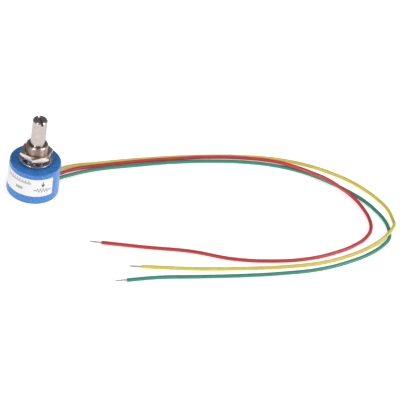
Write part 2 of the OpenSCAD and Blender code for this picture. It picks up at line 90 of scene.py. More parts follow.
class Graph:
    """Adds and joins the shader nodes of one material, round a Principled surface."""

    def __init__(self, name: str) -> None:
        """Starts an empty material.

        Args:
            name: Name of the new material.
        """
        self.material = bpy.data.materials.new(name)
        self.material.use_nodes = True
        self._tree = self.material.node_tree
        self._tree.nodes.clear()
        self.surface = self.add("ShaderNodeBsdfPrincipled")
        output = self.add("ShaderNodeOutputMaterial")
        self._tree.links.new(self.surface.outputs["BSDF"], output.inputs["Surface"])

    def add(self, kind: str, **settings: object) -> bpy.types.Node:
        """Adds a node.

        Args:
            kind: Blender's name of the node type.
            **settings: Attributes to set on the node.

        Returns:
            The new node.
        """
        node = self._tree.nodes.new(kind)
        for key, value in settings.items():
            setattr(node, key, value)
        return node

    def feed(self, target: Socket, value: Socket | float | Colour) -> None:
        """Links a socket to an input, or sets a constant on it.

        Args:
            target: Input socket.
            value: Output socket, number or colour.
        """
        if isinstance(value, bpy.types.NodeSocket):
            self._tree.links.new(value, target)
        elif isinstance(value, tuple) and len(target.default_value) == 4:
            target.default_value = (*value, 1.0)
        else:
            target.default_value = value

    def set(self, name: str, value: Socket | float | Colour) -> None:
        """Sets or links an input of the Principled surface.

        Args:
            name: Name of the input.
            value: Output socket, number or colour.
        """
        self.feed(self.surface.inputs[name], value)

    def math(self, operation: str, *values: Socket | float) -> Socket:
        """Adds a Math node.

        Args:
            operation: Blender's name of the operation.
            *values: Its inputs, in order.

        Returns:
            The result.
        """
        node = self.add("ShaderNodeMath", operation=operation)
        for target, value in zip(node.inputs, values):
            self.feed(target, value)
        return node.outputs[0]

    def place(self) -> Socket:
        """Gives the point on the surface, in the object's own coordinates."""
        return self.add("ShaderNodeTexCoord").outputs["Object"]

    def axes(self) -> tuple[Socket, Socket, Socket]:
        """Gives the point's coordinates apart.

        Returns:
            X, Y and Z.
        """
        parts = self.add("ShaderNodeSeparateXYZ")
        self.feed(parts.inputs[0], self.place())
        return parts.outputs[0], parts.outputs[1], parts.outputs[2]

    def reach(self, x: Socket, y: Socket) -> Socket:
        """Gives the distance from the Z axis, from X and Y."""
        squares = [self.math("MULTIPLY", side, side) for side in (x, y)]
        return self.math("SQRT", self.math("ADD", *squares))

    def within(self, value: Socket, low: float, high: float) -> Socket:
        """Masks a stretch.

        Args:
            value: Length to test.
            low: Start of the stretch.
            high: End of the stretch.

        Returns:
            1 inside the stretch and 0 outside it.
        """
        above = self.math("GREATER_THAN", value, low)
        below = self.math("LESS_THAN", value, high)
        return self.math("MULTIPLY", above, below)

    def stretched(self, factors: Triple) -> Socket:
        """Gives the point, stretched along the axes.

        Args:
            factors: Factor along X, Y and Z.

        Returns:
            The stretched point.
        """
        mapping = self.add("ShaderNodeMapping")
        self.feed(mapping.inputs["Vector"], self.place())
        mapping.inputs["Scale"].default_value = factors
        return mapping.outputs[0]

    def noise(self, scale: float, detail: float = 2.0, where: Socket | None = None) -> Socket:
        """Adds a noise pattern.

        Args:
            scale: Number of features per metre.
            detail: Number of finer layers.
            where: Point to read it at, or None for the object's own coordinates.

        Returns:
            The pattern, about 0.5.
        """
        node = self.add("ShaderNodeTexNoise")
        self.feed(node.inputs["Vector"], where or self.place())
        node.inputs["Scale"].default_value = scale
        node.inputs["Detail"].default_value = detail
        return node.outputs["Fac"]

    def between(self, pattern: Socket, low: float, high: float) -> Socket:
        """Spreads a pattern over a range.

        Args:
            pattern: Pattern with values mostly between NOISE_LOW and NOISE_HIGH.
            low: Value at NOISE_LOW.
            high: Value at NOISE_HIGH.

        Returns:
            The spread pattern.
        """
        node = self.add("ShaderNodeMapRange")
        for target, value in zip(node.inputs, (pattern, NOISE_LOW, NOISE_HIGH, low, high)):
            self.feed(target, value)
        return node.outputs[0]

    def mixed(self, factor: Socket, first: Socket | Colour, second: Socket | Colour) -> Socket:
        """Mixes two colours.

        Args:
            factor: 0 for the first colour, 1 for the second.
            first: First colour.
            second: Second colour.

        Returns:
            The mixed colour.
        """
        node = self.add("ShaderNodeMix", data_type="RGBA")
        self.feed(node.inputs[MIX_FACTOR], factor)
        self.feed(node.inputs[MIX_FIRST], first)
        self.feed(node.inputs[MIX_SECOND], second)
        return node.outputs[MIX_RESULT]

    def bump(self, height: Socket, depth: float, strength: float = 1.0) -> None:
        """Gives the surface a relief.

        Args:
            height: Pattern of the relief, from 0 to 1.
            depth: Depth of the relief in metres.
            strength: Share of the relief that is used.
        """
        node = self.add("ShaderNodeBump")
        node.inputs["Strength"].default_value = strength
        node.inputs["Distance"].default_value = depth
        self.feed(node.inputs["Height"], height)
        self.set("Normal", node.outputs[0])


def shade_of(colour: Colour, factor: float) -> Colour:
    """Makes a colour lighter or darker.

    Args:
        colour: Linear colour.
        factor: Factor on each channel.

    Returns:
        The new colour.
    """
    return tuple(min(1.0, channel * factor) for channel in colour)


@dataclass(frozen=True)
class MouldedPlastic:
    """Moulded plastic with a faint flow pattern and a fine skin.

    The painted shadow is shade painted where the washer shadows its seat: what lies above a
    height, within a distance from the Z axis, is darker.
    """

    name: str
    colour: Colour
    roughness: float = 0.3
    variation: float = 0.02
    # Painted shadow: height and reach of the seat under the washer, and the factor that darkens it.
    painted_shadow: tuple[float, float] | None = None
    painted_shadow_factor: float = 0.35
    ior: float = 1.58
    smoother: float = 0.04
    rougher: float = 0.05
    flow_scale: float = 180
    smear_scale: float = 900
    skin_scale: float = 5200
    skin_depth: float = 0.002 * MM
    skin_strength: float = 0.5

    def build(self) -> bpy.types.Material:
        """Builds the material.

        Returns:
            The material.
        """
        graph = Graph(self.name)
        flow = graph.between(graph.noise(self.flow_scale, 3), 0.0, 1.0)
        low, high = 1 - self.variation, 1 + self.variation
        colour = graph.mixed(flow, shade_of(self.colour, low), shade_of(self.colour, high))
        # Painted shade: the seat under the washer is darkened where the washer's shadow falls.
        if self.painted_shadow:
            above, within = self.painted_shadow
            x, y, z = graph.axes()
            raised = graph.math("GREATER_THAN", z, above)
            near = graph.math("LESS_THAN", graph.reach(x, y), within)
            shaded = graph.math("MULTIPLY", raised, near)
            colour = graph.mixed(shaded, colour, shade_of(self.colour, self.painted_shadow_factor))
        graph.set("Base Color", colour)
        smear = graph.noise(self.smear_scale)
        smooth, rough = self.roughness - self.smoother, self.roughness + self.rougher
        graph.set("Roughness", graph.between(smear, smooth, rough))
        graph.set("IOR", self.ior)
        graph.bump(graph.noise(self.skin_scale), self.skin_depth, self.skin_strength)
        return graph.material


@dataclass(frozen=True)
class WorkedMetal:
    """Bare or plated metal with the marks of its working, and a darker band between two heights."""

    name: str
    colour: Colour
    roughness: float = 0.25
    grain: Grain = Grain.PLATED
    mark_depth: float = 0.003 * MM
    band_heights: tuple[float, float] | None = None
    band_colour: Colour = (0.03, 0.027, 0.024)
    darker: float = 0.95
    lighter: float = 1.04
    smoother: float = 0.05
    rougher: float = 0.07
    cloud_scale: float = 420
    plated_scale: float = 6000
    turned_scale: float = 9000
    rolled_scales: Triple = (900, 9000, 9000)
    mark_strength: float = 0.6

    def marks(self, graph: Graph) -> Socket:
        """Gives the pattern of the marks.

        Args:
            graph: Graph of the material.

        Returns:
            The pattern.
        """
        if self.grain is Grain.ROLLED:
            return graph.noise(1.0, 3, graph.stretched(self.rolled_scales))
        if self.grain is Grain.PLATED:
            return graph.noise(self.plated_scale, 3)
        x, y, z = graph.axes()
        rings = graph.add("ShaderNodeCombineXYZ")
        reach = graph.reach(x, y)
        graph.feed(rings.inputs[0], graph.math("MULTIPLY", reach, self.turned_scale))
        graph.feed(rings.inputs[2], graph.math("MULTIPLY", z, self.turned_scale))
        return graph.noise(1.0, 2, rings.outputs[0])

    def build(self) -> bpy.types.Material:
        """Builds the material.

        Returns:
            The material.
        """
        graph = Graph(self.name)
        marks = self.marks(graph)
        cloud = graph.between(graph.noise(self.cloud_scale, 3), 0.0, 1.0)
        dark, light = shade_of(self.colour, self.darker), shade_of(self.colour, self.lighter)
        colour = graph.mixed(cloud, dark, light)
        # Darker band of colour between two heights.
        if self.band_heights:
            in_band = graph.within(graph.axes()[2], *self.band_heights)
            colour = graph.mixed(in_band, colour, self.band_colour)
        graph.set("Base Color", colour)
        graph.set("Metallic", 1.0)
        smooth, rough = self.roughness - self.smoother, self.roughness + self.rougher
        graph.set("Roughness", graph.between(marks, smooth, rough))
        graph.bump(marks, self.mark_depth, self.mark_strength)
        return graph.material


@dataclass(frozen=True)
class LeadInsulation:
    """Soft extruded insulation, with a slight gloss and faint dusting."""

    name: str
    colour: Colour
    roughness: float = 0.38
    ior: float = 1.52
    darker: float = 0.93
    lighter: float = 1.06
    smoother: float = 0.05
    rougher: float = 0.08
    glow: float = 0.08
    glow_depth: float = 0.4 * MM
    dust_scale: float = 260
    gloss_scale: float = 1500
    skin_scale: float = 2600
    skin_depth: float = 0.006 * MM
    skin_strength: float = 0.5

    def build(self) -> bpy.types.Material:
        """Builds the material.

        Returns:
            The material.
        """
        graph = Graph(self.name)
        dust = graph.between(graph.noise(self.dust_scale, 4), 0.0, 1.0)
        dark, light = shade_of(self.colour, self.darker), shade_of(self.colour, self.lighter)
        graph.set("Base Color", graph.mixed(dust, dark, light))
        smooth, rough = self.roughness - self.smoother, self.roughness + self.rougher
        graph.set("Roughness", graph.between(graph.noise(self.gloss_scale), smooth, rough))
        graph.set("IOR", self.ior)
        graph.set("Subsurface Weight", self.glow)
        graph.set("Subsurface Scale", self.glow_depth)
        graph.bump(graph.noise(self.skin_scale), self.skin_depth, self.skin_strength)
        return graph.material


@dataclass(frozen=True)
class WoundWire:
    """Fine wire wound round a former, as lines that stand across the ring, with shade painted into
    the grooves between turns.
    """

    name: str
    colour: Colour
    turns: int = 720
    painted_groove_shade: float = 0.35
    smooth: float = 0.28
    rough: float = 0.4
    tarnish_scale: float = 3000
    relief: float = 0.02 * MM

    def build(self) -> bpy.types.Material:
        """Builds the material.

        Returns:
            The material.
        """
        graph = Graph(self.name)
        x, y, _ = graph.axes()
        turn = graph.math("MULTIPLY", graph.math("ARCTAN2", y, x), self.turns / math.tau)
        wire = graph.math("PINGPONG", turn, 0.5)
        round_wire = graph.math("SQRT", graph.math("MULTIPLY", wire, 2.0))
        # Painted shade: the grooves between turns are darker.
        painted_groove = shade_of(self.colour, self.painted_groove_shade)
        graph.set("Base Color", graph.mixed(round_wire, painted_groove, self.colour))
        graph.set("Metallic", 1.0)
        tarnish = graph.noise(self.tarnish_scale)
        graph.set("Roughness", graph.between(tarnish, self.smooth, self.rough))
        graph.bump(round_wire, self.relief)
        return graph.material


@dataclass(frozen=True)
class BarRow:
    """A row of plain printed bars that repeats, like the divisions of a scale.

    Lengths run round the label from the front, positive to the right, and up from the rear face.
    Each bar is given by its left, right, lower and upper edge within one division.
    """

    start: float
    low: float
    step: float
    count: int
    bars: tuple[Edges, ...]


@dataclass(frozen=True)
class LabelFilm:
    """White film with a plain circuit sign and two rows of plain bars printed on it.

    Lengths run round the label from the front, positive to the right, and up from the rear face.
    """

    name: str
    colour: Colour = (0.79, 0.785, 0.78)
    ink: Colour = (0.04, 0.04, 0.045)
    radius: float = 11.18 * MM
    least_ink: float = 0.85
    ink_scale: float = 2400
    paper_shade: float = 0.97
    paper_scale: float = 300
    smooth: float = 0.42
    rough: float = 0.52
    gloss_scale: float = 2000
    skin_scale: float = 3500
    skin_depth: float = 0.004 * MM
    skin_strength: float = 0.5
    line: float = 0.22 * MM
    slanted_line: float = 1.7
    sign_mid: float = 5.6 * MM
    sign_low: float = 7.5 * MM
    zigzag_half: float = 2.5 * MM
    zigzag_rise: float = 1.0 * MM
    zigzag_step: float = 0.625 * MM
    wire_out: float = 3.9 * MM
    arrow_top: float = 12.0 * MM
    arrow_head: float = 1.7 * MM
    arrow_slope: float = 0.55
    scale: BarRow = BarRow(
        -11.8 * MM, 10.5 * MM, 1.36 * MM, 9, (
            (0.05 * MM, 0.27 * MM, 0.0, 2.0 * MM),
            (0.54 * MM, 0.69 * MM, 0.0, 1.2 * MM),
            (0.99 * MM, 1.14 * MM, 0.0, 1.2 * MM),
            (-0.01 * MM, 1.37 * MM, 0.0, 0.12 * MM),
        ),
    )
    bars: BarRow = BarRow(
        -6.4 * MM, 6.9 * MM, 1.12 * MM, 3, (
            (0.0, 0.32 * MM, 0.0, 1.4 * MM),
            (0.46 * MM, 0.62 * MM, 0.0, 1.4 * MM),
            (0.76 * MM, 0.92 * MM, 0.0, 1.4 * MM),
        ),
    )

    def patch(self, graph: Graph, along: Socket, up: Socket, box: Edges) -> Socket:
        """Masks a rectangle.

        Args:
            graph: Graph of the material.
            along: Length round the label.
            up: Height.
            box: Left, right, lower and upper edge.

        Returns:
            1 inside the rectangle and 0 outside it.
        """
        left, right, low, high = box
        return graph.math("MULTIPLY", graph.within(along, left, right), graph.within(up, low, high))

    def sign(self, graph: Graph, along: Socket, up: Socket) -> Socket:
        """Masks the sign of a resistor with a slider: a zigzag, its two wires and an arrow.

        Args:
            graph: Graph of the material.
            along: Length round the label.
            up: Height.

        Returns:
            The mask.
        """
        mid, low, line = self.sign_mid, self.sign_low, self.line
        start, end = mid - self.zigzag_half, mid + self.zigzag_half
        half_step = self.zigzag_step / 2
        phase = graph.math("ADD", graph.math("SUBTRACT", along, start), half_step)
        wave = graph.math("PINGPONG", phase, self.zigzag_step)
        slope = self.zigzag_rise / half_step
        height = graph.math("MULTIPLY", graph.math("SUBTRACT", wave, half_step), slope)
        off = graph.math("SUBTRACT", graph.math("SUBTRACT", up, low), height)
        near = graph.math("LESS_THAN", graph.math("ABSOLUTE", off), line * self.slanted_line)
        zigzag = graph.math("MULTIPLY", near, graph.within(along, start, end))
        wires = [
            self.patch(graph, along, up, (left, right, low - line, low + line))
            for left, right in ((mid - self.wire_out, start), (end, mid + self.wire_out))
        ]
        foot = low + self.zigzag_rise + 2 * line
        stem = (mid - line, mid + line, foot + self.arrow_head, self.arrow_top)
        shaft = self.patch(graph, along, up, stem)
        aside = graph.math("ABSOLUTE", graph.math("SUBTRACT", along, mid))
        above = graph.math("SUBTRACT", up, foot)
        edge = graph.math("MULTIPLY", above, self.arrow_slope)
        narrow = graph.math("LESS_THAN", aside, edge)
        head = graph.math("MULTIPLY", narrow, graph.math("LESS_THAN", above, self.arrow_head))
        mask = zigzag
        for part in (*wires, shaft, head):
            mask = graph.math("MAXIMUM", mask, part)
        return mask

    def printed(self, graph: Graph, along: Socket, up: Socket, row: BarRow) -> Socket:
        """Masks a row of plain bars.

        Args:
            graph: Graph of the material.
            along: Length round the label.
            up: Height.
            row: Place and bars of the row.

        Returns:
            The mask.
        """
        step = graph.math("DIVIDE", graph.math("SUBTRACT", along, row.start), row.step)
        across = graph.math("MULTIPLY", graph.math("FRACT", step), row.step)
        height = graph.math("SUBTRACT", up, row.low)
        mask = self.patch(graph, across, height, row.bars[0])
        for bar in row.bars[1:]:
            mask = graph.math("MAXIMUM", mask, self.patch(graph, across, height, bar))
        return graph.math("MULTIPLY", mask, graph.within(step, 0.0, row.count))

    def build(self) -> bpy.types.Material:
        """Builds the material.

        Returns:
            The material.
        """
        graph = Graph(self.name)
        x, y, up = graph.axes()
        turn = graph.math("ARCTAN2", x, graph.math("MULTIPLY", y, -1.0))
        along = graph.math("MULTIPLY", turn, self.radius)
        print_mask = self.sign(graph, along, up)
        for row in (self.scale, self.bars):
            print_mask = graph.math("MAXIMUM", print_mask, self.printed(graph, along, up, row))
        wear = graph.between(graph.noise(self.ink_scale, 3), self.least_ink, 1.0)
        worn = graph.math("MULTIPLY", print_mask, wear)
        cloud = graph.between(graph.noise(self.paper_scale, 3), 0.0, 1.0)
        paper = graph.mixed(cloud, shade_of(self.colour, self.paper_shade), self.colour)
        graph.set("Base Color", graph.mixed(worn, paper, self.ink))
        gloss = graph.noise(self.gloss_scale)
        graph.set("Roughness", graph.between(gloss, self.smooth, self.rough))
        graph.bump(graph.noise(self.skin_scale), self.skin_depth, self.skin_strength)
        return graph.material


def dress(piece: bpy.types.Object, material: bpy.types.Material) -> None:
    """Gives every slot of a piece one material.

    Args:
        piece: Piece to dress.
        material: Its finish.
    """
    if not piece.material_slots:
        piece.data.materials.append(material)
    for slot in piece.material_slots:
        slot.material = material


def keep(mesh: bmesh.types.BMesh, name: str, smooth_below: float = 35.0) -> bpy.types.Object:
    """Turns a bmesh into a piece at the origin, with its faces pointing outwards.

    Args:
        mesh: Finished mesh, which is freed.
        name: Name of the piece.
        smooth_below: Angle in degrees under which two faces are shaded as one.

    Returns:
        The new object.
    """
    bmesh.ops.recalc_face_normals(mesh, faces=mesh.faces)
    for face in mesh.faces:
        face.smooth = True
    limit = math.radians(smooth_below)
    for edge in mesh.edges:
        edge.smooth = len(edge.link_faces) == 2 and edge.calc_face_angle() < limit
    data = bpy.data.meshes.new(name)
    mesh.to_mesh(data)
    mesh.free()
    piece = bpy.data.objects.new(name, data)
    bpy.context.scene.collection.objects.link(piece)
    return piece


def polyline(
    mesh: bmesh.types.BMesh, points: list[tuple[float, float]]
) -> list[bmesh.types.BMEdge]:
    """Draws a half section, to be turned about the Z axis.

    Args:
        mesh: Mesh to draw in.
        points: Distance from the axis and height of each corner.

    Returns:
        The new edges.
    """
    corners = [mesh.verts.new((reach, 0.0, height)) for reach, height in points]
    return [mesh.edges.new(pair) for pair in zip(corners, corners[1:])]


def revolve(
    mesh: bmesh.types.BMesh, edges: list[bmesh.types.BMEdge], steps: int,
    angle: float = math.tau, rise: float = 0.0, closed: bool = True,
) -> None:
    """Turns edges about the Z axis.

    Args:
        mesh: Mesh that holds them.
        edges: Edges to turn.
        steps: Number of steps.
        angle: Whole angle.
        rise: Rise of each step.
        closed: Whether the end is joined to the start.
    """
    corners = list({corner for edge in edges for corner in edge.verts})
    bmesh.ops.spin(
        mesh, geom=corners + edges, axis=(0, 0, 1), cent=(0, 0, 0), angle=angle,
        dvec=(0, 0, rise), steps=steps, use_merge=closed,
    )


def rims_at(mesh: bmesh.types.BMesh, height: float) -> list[bmesh.types.BMEdge]:
    """Finds the open edges at one height.

    Args:
        mesh: Mesh to search.
        height: Height of the rims.

    Returns:
        The edges of the rims.
    """
    return [
        edge for edge in mesh.edges
        if edge.is_boundary and all(abs(v.co.z - height) < 10 * WELD for v in edge.verts)
    ]


@dataclass
class ThreadedBushing:
    """Bushing with its real thread, which stands for the plain one of the CAD model."""

    crest: float = 4.76 * MM
    pitch: float = INCH / 32
    flat: float = INCH / 32 / 8
    depth: float = 0.46 * MM
    bevel_w: float = 0.4 * MM
    bevel_h: float = 0.5 * MM
    bore: float = 3.205 * MM
    mouth: float = 3.455 * MM
    mouth_depth: float = 0.25 * MM
    flange: float = 6.8 * MM
    flange_t: float = 1.2 * MM
    plain: float = 3.9 * MM
    steps: int = 72
    smooth_below: float = 25.0

    def thread(self, mesh: bmesh.types.BMesh, low: float, high: float) -> None:
        """Winds the thread between two heights and bevels its end.

        Args:
            mesh: Mesh to build in.
            low: Height of the thread's start.
            high: Height of the thread's end.
        """
        root = self.crest - self.depth
        flank = self.pitch / 2 - self.flat
        turns = math.ceil((high - low) / self.pitch) + 1
        start = low - self.pitch
        profile = polyline(mesh, [
            (root, start),
            (root, start + self.flat),
            (self.crest, start + self.flat + flank),
            (self.crest, start + 2 * self.flat + flank),
            (root, start + self.pitch),
        ])
        revolve(
            mesh, profile, turns * self.steps, turns * math.tau, self.pitch / self.steps, False
        )
        bmesh.ops.remove_doubles(mesh, verts=mesh.verts, dist=WELD)
        for height, upward in ((low, -1), (high, 1)):
            bmesh.ops.bisect_plane(
                mesh, geom=mesh.verts[:] + mesh.edges[:] + mesh.faces[:], dist=WELD / 10,
                plane_co=(0, 0, height), plane_no=(0, 0, upward), clear_outer=True,
            )
        for corner in mesh.verts:
            into = max(0.0, corner.co.z - (high - self.bevel_h)) / self.bevel_h
            limit = self.crest - self.bevel_w * into
            if corner.co.xy.length > limit:
                corner.co.xy *= limit / corner.co.xy.length

    def build(self) -> bpy.types.Object:
        """Builds the bushing in the place of its CAD node.

        Returns:
            The piece.
        """
        lowest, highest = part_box("bushing")
        low, high = lowest.z + self.plain, highest.z
        mesh = bmesh.new()
        self.thread(mesh, low, high)
        shell = bmesh.new()
        body = polyline(shell, [
            (self.crest, low),
            (self.crest, lowest.z + self.flange_t),
            (self.flange, lowest.z + self.flange_t),
            (self.flange, lowest.z),
            (self.bore, lowest.z),
            (self.bore, high - self.mouth_depth),
            (self.mouth, high),
        ])
        revolve(shell, body, self.steps)
        turned = bpy.data.meshes.new("turned")
        shell.to_mesh(turned)
        shell.free()
        mesh.from_mesh(turned)
        bpy.data.meshes.remove(turned)
        for height in (low, high):
            bmesh.ops.bridge_loops(mesh, edges=rims_at(mesh, height))
        bmesh.ops.remove_doubles(mesh, verts=mesh.verts, dist=WELD)
        piece = keep(mesh, "bushing_threaded", self.smooth_below)
        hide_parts("bushing")
        return piece


@dataclass
class LockWasher:
    """Stamped lock washer with rolled edges and twisted teeth inside."""

    outer: float = 7.3 * MM
    inner: float = 6.0 * MM
    sheet: float = 0.5 * MM
    edge_round: float = 0.17 * MM
    teeth: int = 12
    tooth_in: float = 4.96 * MM
    tooth_out: float = 5.85 * MM
    tooth_w: float = 1.7 * MM
    neck_w: float = 0.935 * MM
    neck_len: float = 0.6 * MM
    twist: float = math.radians(34)
    tooth_round: float = 0.09 * MM
    steps: int = 96
    corner_steps: int = 4
    smooth_below: float = 40.0

    def rim(self, mesh: bmesh.types.BMesh) -> None:
        """Turns the flat ring, with rounds where the sheet was cut.

        Args:
            mesh: Mesh to build in.
        """
        half, edge = self.sheet / 2, self.edge_round
        section = []
        for reach, height, start in (
            (self.outer - edge, half - edge, 0), (self.inner + edge, half - edge, 1),
            (self.inner + edge, edge - half, 2), (self.outer - edge, edge - half, 3),
        ):
            for step in range(self.corner_steps + 1):
                turn = (start + step / self.corner_steps) * math.pi / 2
                section.append((reach + edge * math.cos(turn), height + edge * math.sin(turn)))
        outline = polyline(mesh, section)
        ends = outline[0].verts[0], outline[-1].verts[1]
        outline.append(mesh.edges.new(ends))
        revolve(mesh, outline, self.steps)

    def block(self, mesh: bmesh.types.BMesh, size: Triple, moves: list[Matrix]) -> None:
        """Adds a block with rounded edges.

        Args:
            mesh: Mesh to build in.
            size: Length, width and thickness.
            moves: Transforms, in the order in which they are applied.
        """
        scaled = Matrix.Diagonal((*size, 1.0))
        corners = bmesh.ops.create_cube(mesh, size=1.0, matrix=scaled)["verts"]
        edges = list({edge for corner in corners for edge in corner.link_edges})
        rounded = bmesh.ops.bevel(
            mesh, geom=edges, offset=self.tooth_round, offset_type="OFFSET", affect="EDGES",
            segments=2, profile=0.5, material=-1,
        )
        shape = list({corner for face in rounded["faces"] for corner in face.verts})
        for move in moves:
            bmesh.ops.transform(mesh, matrix=move, verts=shape)

    def build(self) -> bpy.types.Object:
        """Builds the washer in the place of its CAD node.

        Returns:
            The piece.
        """
        lowest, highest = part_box("lockwasher")
        mesh = bmesh.new()
        self.rim(mesh)
        reach = self.tooth_out - self.tooth_in
        out = Matrix.Translation((self.tooth_out, 0.0, 0.0))
        mid = Matrix.Translation((self.tooth_out - reach / 2, 0.0, 0.0))
        twisted = Matrix.Rotation(self.twist, 4, "X")
        for index in range(self.teeth):
            turn = Matrix.Rotation(index * math.tau / self.teeth, 4, "Z")
            self.block(mesh, (self.neck_len, self.neck_w, self.sheet), [out, turn])
            self.block(mesh, (reach, self.tooth_w, self.sheet), [twisted, mid, turn])
        raised = (0.0, 0.0, (lowest.z + highest.z) / 2)
        bmesh.ops.translate(mesh, vec=raised, verts=mesh.verts)
        piece = keep(mesh, "lockwasher_rolled", self.smooth_below)
        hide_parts("lockwasher")
        return piece


@dataclass
class BareStrands:
    """Twisted tinned strands at the bare end of a lead."""

    strand: float = 0.125 * MM
    bundle: float = 0.25 * MM
    length: float = 5.0 * MM
    lay: float = 6.5 * MM
    outer: int = 6
    steps: int = 28
    sides: int = 10
    smooth_below: float = 50.0

    def build(self, name: str, start: Vector, ahead: Vector) -> bpy.types.Object:
        """Builds one bundle.

        Args:
            name: Name of the piece.
            start: Where the strands leave the insulation.
            ahead: Direction in which they run.

        Returns:
            The piece.
        """
        mesh = bmesh.new()
        turn = self.length / self.lay * math.tau
        first = Vector((self.bundle, 0.0, 0.0))
        turns = [Matrix.Rotation(k * math.tau / self.outer, 3, "Z") for k in range(self.outer)]
        for centre in [Vector()] + [turned @ first for turned in turns]:
            ring = bmesh.ops.create_circle(
                mesh, segments=self.sides, radius=self.strand, matrix=Matrix.Translation(centre)
            )["verts"]
            edges = list({edge for corner in ring for edge in corner.link_edges})
            revolve(mesh, edges, self.steps, turn, self.length / self.steps, False)
        ends = [edge for edge in mesh.edges if edge.is_boundary]
        bmesh.ops.holes_fill(mesh, edges=ends, sides=self.sides)
        place = Matrix.Translation(start) @ ahead.to_track_quat("Z", "Y").to_matrix().to_4x4()
        bmesh.ops.transform(mesh, matrix=place, verts=mesh.verts)
        return keep(mesh, name, self.smooth_below)


@dataclass
class FlyingLead:
    """One insulated lead, along the route that the CAD model gives it, with its bare end."""

    colour_name: str
    aside: float
    table: list[Triple]
    finish: LeadInsulation
    diameter: float = 1.6 * MM
    exit_angle: float = math.radians(45)
    start_out: float = 7.6 * MM
    wall_out: float = 11.4 * MM
    straight_out: float = 14.0 * MM
    height: float = 2.15 * MM
    stated_length: float = 0.305

    def exit_point(self, out: float) -> Vector:
        """Gives a point on the straight stretch through the wall.

        Args:
            out: Distance from the body's axis.

        Returns:
            The point.
        """
        along = Vector((math.cos(self.exit_angle), math.sin(self.exit_angle), 0.0))
        across = Vector((-along.y, along.x, 0.0))
        return along * out + across * self.aside + Vector((0.0, 0.0, self.height))

    def build(self, strands: BareStrands, tinned: bpy.types.Material) -> list[bpy.types.Object]:
        """Args:
            strands: Builder of the bare end.
            tinned: Finish of the bare end.

        Returns:
            The lead and its bare end.
        """
        route = [self.exit_point(self.start_out), self.exit_point(self.straight_out)]
        route += [Vector(point) for point in self.table]
        curve = bpy.data.curves.new(f"lead_{self.colour_name}_cord", "CURVE")
        curve.dimensions = "3D"
        curve.resolution_u = 8
        curve.bevel_depth = self.diameter / 2
        curve.bevel_resolution = 5
        curve.use_fill_caps = True
        spline = curve.splines.new("BEZIER")
        spline.bezier_points.add(len(route) - 1)
        for knot, point in zip(spline.bezier_points, route):
            knot.co = point
            knot.handle_left_type = knot.handle_right_type = "AUTO"
        lead = bpy.data.objects.new(f"lead_{self.colour_name}_cord", curve)
        bpy.context.scene.collection.objects.link(lead)
        dress(lead, self.finish.build())
        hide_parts(f"lead_{self.colour_name}")
        ahead = (route[-1] - route[-2]).normalized()
        bare = strands.build(f"strands_{self.colour_name}", route[-1], ahead)
        dress(bare, tinned)
        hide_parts(f"tip_{self.colour_name}")
        return [lead, bare]


ROUTE_YELLOW = [
    (0.012, 0.0158, 0.0016), (0.017, 0.0198, 0.00095), (0.024, 0.0231, 0.00085),
    (0.04, 0.0304, 0.00085), (0.056, 0.0369, 0.00085), (0.072, 0.0425, 0.00085),
    (0.088, 0.0469, 0.00085), (0.103, 0.0493, 0.00085), (0.117, 0.049, 0.00085),
    (0.128, 0.0466, 0.00085), (0.137, 0.0432, 0.00085), (0.145, 0.0382, 0.00085),
    (0.151, 0.033, 0.00085), (0.1555, 0.0274, 0.00085), (0.158, 0.021, 0.00095),
    (0.1587, 0.0166, 0.0018), (0.1572, 0.0105, 0.00265), (0.1539, 0.0046, 0.002),
    (0.1493, -0.0005, 0.001), (0.142, -0.0076, 0.00085), (0.13, -0.0163, 0.00085),
    (0.114, -0.0237, 0.00085), (0.095, -0.0301, 0.00085), (0.075, -0.0357, 0.00085),
    (0.0534, -0.0402, 0.00085),
]
ROUTE_RED = [
    (0.0135, 0.0139, 0.0016), (0.0185, 0.018, 0.001), (0.025, 0.0215, 0.00095),
    (0.041, 0.0289, 0.00125), (0.057, 0.0354, 0.00145), (0.073, 0.041, 0.0017),
    (0.089, 0.0449, 0.0018), (0.103, 0.0457, 0.00225), (0.112, 0.0442, 0.00255),
    (0.119, 0.0422, 0.0026), (0.127, 0.0392, 0.0026), (0.134, 0.0349, 0.0022),
    (0.14, 0.0309, 0.00115), (0.1445, 0.025, 0.00085), (0.1476, 0.0185, 0.00085),
    (0.1487, 0.012, 0.00085), (0.147, 0.0055, 0.00085), (0.1425, -0.001, 0.00085),
    (0.1345, -0.0084, 0.00085), (0.123, -0.0158, 0.00085), (0.108, -0.0215, 0.00085),
    (0.091, -0.0248, 0.00085), (0.073, -0.0247, 0.00085), (0.054, -0.0272, 0.00085),
    (0.0347, -0.0293, 0.00085),
]
ROUTE_GREEN = [
    (0.0148, 0.0115, 0.0014), (0.0195, 0.0156, 0.0009), (0.026, 0.0196, 0.00085),
    (0.042, 0.0271, 0.00085), (0.058, 0.034, 0.00085), (0.074, 0.0394, 0.00085),
    (0.09, 0.0433, 0.00085), (0.104, 0.0446, 0.00085), (0.116, 0.0435, 0.00085),
    (0.127, 0.0401, 0.00085), (0.136, 0.036, 0.00085), (0.144, 0.0311, 0.00085),
    (0.15, 0.0254, 0.00085), (0.1544, 0.0194, 0.00085), (0.1568, 0.0125, 0.00085),
    (0.157, 0.0075, 0.00085), (0.1548, 0.0024, 0.00085), (0.15, -0.0043, 0.00085),
    (0.142, -0.0119, 0.00085), (0.129, -0.021, 0.00085), (0.113, -0.0283, 0.00085),
    (0.095, -0.0348, 0.00085), (0.077, -0.0404, 0.00085), (0.062, -0.0449, 0.00085),
    (0.0486, -0.0503, 0.00085),
]


